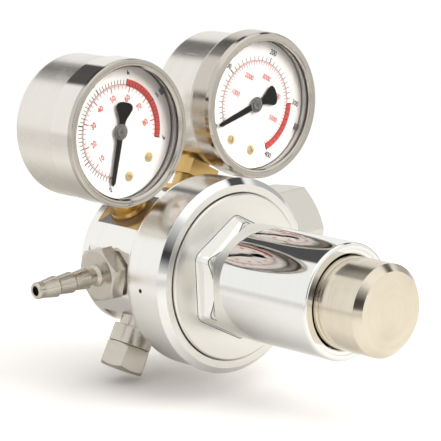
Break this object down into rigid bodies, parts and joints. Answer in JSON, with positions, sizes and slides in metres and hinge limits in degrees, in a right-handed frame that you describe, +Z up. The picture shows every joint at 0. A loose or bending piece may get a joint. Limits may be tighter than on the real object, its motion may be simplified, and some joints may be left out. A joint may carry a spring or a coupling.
{
  "type": "medical gas regulator",
  "caption": "Chromed single-stage gas pressure regulator with high and low pressure dial gauges, a union nut inlet, a hose barb outlet, a relief valve and a spring bonnet.",
  "frame": {"origin": "centre of the inlet union nut's mouth", "axes": "+X leaves the inlet, -Y is the front where the bonnet and the dials face, +Z is up towards the gauges"},
  "size_m": [0.1305, 0.1388, 0.1267],
  "materials": {
    "polished_chrome": "polished chrome plate on brass, mirror bright with faint turning marks",
    "satin_nickel": "satin nickel plate, warm beige grey, fine turned grain",
    "spring_steel": "plain drawn and turned steel",
    "brass": "bare machined brass, slightly tarnished",
    "sintered_bronze": "dull grainy bronze",
    "black_rubber": "matte moulded rubber",
    "seal_plastic": "off-white sealing plastic",
    "gauge_steel": "polished stainless steel sheet",
    "window_glass": "clear flat window",
    "dial_white": "white dial with plain black and red scales",
    "pointer_black": "matte black paint"
  },
  "bodies": {
    "housing": {"body": "polished_chrome", "clamp_ring": "satin_nickel", "bonnet": "polished_chrome", "slip_ring": "brass", "diaphragm": "black_rubber", "main_spring": "spring_steel", "lock_nut": "spring_steel", "seat_nozzle": "brass", "poppet_spring": "spring_steel", "inlet_nipple": "satin_nickel", "inlet_filter": "sintered_bronze", "inlet_seal": "seal_plastic", "outlet_barb": "satin_nickel", "outlet_washer": "seal_plastic", "relief_body": "satin_nickel", "relief_cap": "satin_nickel", "relief_spring": "spring_steel", "low_case": "gauge_steel", "low_bezel": "gauge_steel", "low_window": "window_glass", "low_gasket": "black_rubber", "low_dial": "dial_white", "low_dial_screws": "brass", "low_clip": "pointer_black", "low_stem": "brass", "low_washer": "sintered_bronze", "low_bourdon_tube": "brass", "low_movement": "brass", "low_vent_plug": "black_rubber", "high_case": "gauge_steel", "high_bezel": "gauge_steel", "high_window": "window_glass", "high_gasket": "black_rubber", "high_dial": "dial_white", "high_dial_screws": "brass", "high_clip": "pointer_black", "high_stem": "brass", "high_washer": "sintered_bronze", "high_bourdon_tube": "brass", "high_movement": "brass", "high_vent_plug": "black_rubber"},
    "union_nut": {"inlet_nut": "satin_nickel"},
    "end_cap": {"cap": "satin_nickel", "cap_o_ring": "black_rubber"},
    "adjuster": {"adjusting_screw": "spring_steel", "spring_button": "spring_steel"},
    "diaphragm_centre": {"diaphragm_plate": "spring_steel", "diaphragm_nut": "brass"},
    "valve": {"poppet": "brass", "valve_pin": "spring_steel"},
    "relief_valve_head": {"relief_poppet": "brass", "relief_seat": "black_rubber"},
    "low_needle": {"low_pointer": "pointer_black"},
    "low_quadrant": {"low_sector": "brass"},
    "low_connecting_link": {"low_link": "spring_steel"},
    "high_needle": {"high_pointer": "pointer_black"},
    "high_quadrant": {"high_sector": "brass"},
    "high_connecting_link": {"high_link": "spring_steel"}
  },
  "joints": [
    {"name": "inlet_nut_spin", "type": "hinge", "parent": "housing", "child": "union_nut", "pos_m": [-0.013, 0, 0], "axis": [1, 0, 0], "continuous": true},
    {"name": "cap_pull", "type": "slide", "parent": "housing", "child": "end_cap", "axis": [0, -1, 0], "range_m": [0, 0.02]},
    {"name": "screw_travel", "type": "slide", "parent": "housing", "child": "adjuster", "axis": [0, 1, 0], "range_m": [-0.003, 0.006], "deforming": ["main_spring"]},
    {"name": "diaphragm_stroke", "type": "slide", "parent": "housing", "child": "diaphragm_centre", "axis": [0, 1, 0], "range_m": [0, 0.0008], "stiffness_N_per_m": 2000, "springref_m": -0.002, "deforming": ["diaphragm"]},
    {"name": "valve_lift", "type": "slide", "parent": "housing", "child": "valve", "axis": [0, 1, 0], "range_m": [0, 0.0008], "stiffness_N_per_m": 1000, "springref_m": -0.003, "deforming": ["poppet_spring"]},
    {"name": "relief_lift", "type": "slide", "parent": "housing", "child": "relief_valve_head", "axis": [-0.5, 0, -0.866], "range_m": [0, 0.0012], "stiffness_N_per_m": 1500, "springref_m": -0.004, "deforming": ["relief_spring"]},
    {"name": "low_pointer_turn", "type": "hinge", "parent": "housing", "child": "low_needle", "pos_m": [-0.10365, -0.015, 0.05655], "axis": [0, 1, 0], "range_deg": [0, 270], "stiffness_Nm_per_rad": 0.00002, "springref_deg": -114.59, "deforming": ["low_bourdon_tube"]},
    {"name": "low_sector_turn", "type": "hinge", "parent": "housing", "child": "low_quadrant", "pos_m": [-0.09326, -0.01, 0.05055], "axis": [0, -1, 0], "range_deg": [0, 38.57]},
    {"name": "low_link_turn", "type": "hinge", "parent": "low_quadrant", "child": "low_connecting_link", "pos_m": [-0.08876, -0.01, 0.05055], "axis": [0, 1, 0], "range_deg": [0, 38.57]},
    {"name": "high_pointer_turn", "type": "hinge", "parent": "housing", "child": "high_needle", "pos_m": [-0.03835, -0.015, 0.05655], "axis": [0, 1, 0], "range_deg": [0, 270], "stiffness_Nm_per_rad": 0.00002, "springref_deg": -114.59, "deforming": ["high_bourdon_tube"]},
    {"name": "high_sector_turn", "type": "hinge", "parent": "housing", "child": "high_quadrant", "pos_m": [-0.03835, -0.01, 0.04455], "axis": [0, -1, 0], "range_deg": [0, 38.57]},
    {"name": "high_link_turn", "type": "hinge", "parent": "high_quadrant", "child": "high_connecting_link", "pos_m": [-0.0361, -0.01, 0.04065], "axis": [0, 1, 0], "range_deg": [0, 38.57]}
  ],
  "couplings": [
    {"joint": "valve_lift", "follows": "diaphragm_stroke", "ratio": 1},
    {"joint": "low_sector_turn", "follows": "low_pointer_turn", "ratio": 0.14286},
    {"joint": "low_link_turn", "follows": "low_pointer_turn", "ratio": 0.14286},
    {"joint": "high_sector_turn", "follows": "high_pointer_turn", "ratio": 0.14286},
    {"joint": "high_link_turn", "follows": "high_pointer_turn", "ratio": 0.14286}
  ]
}
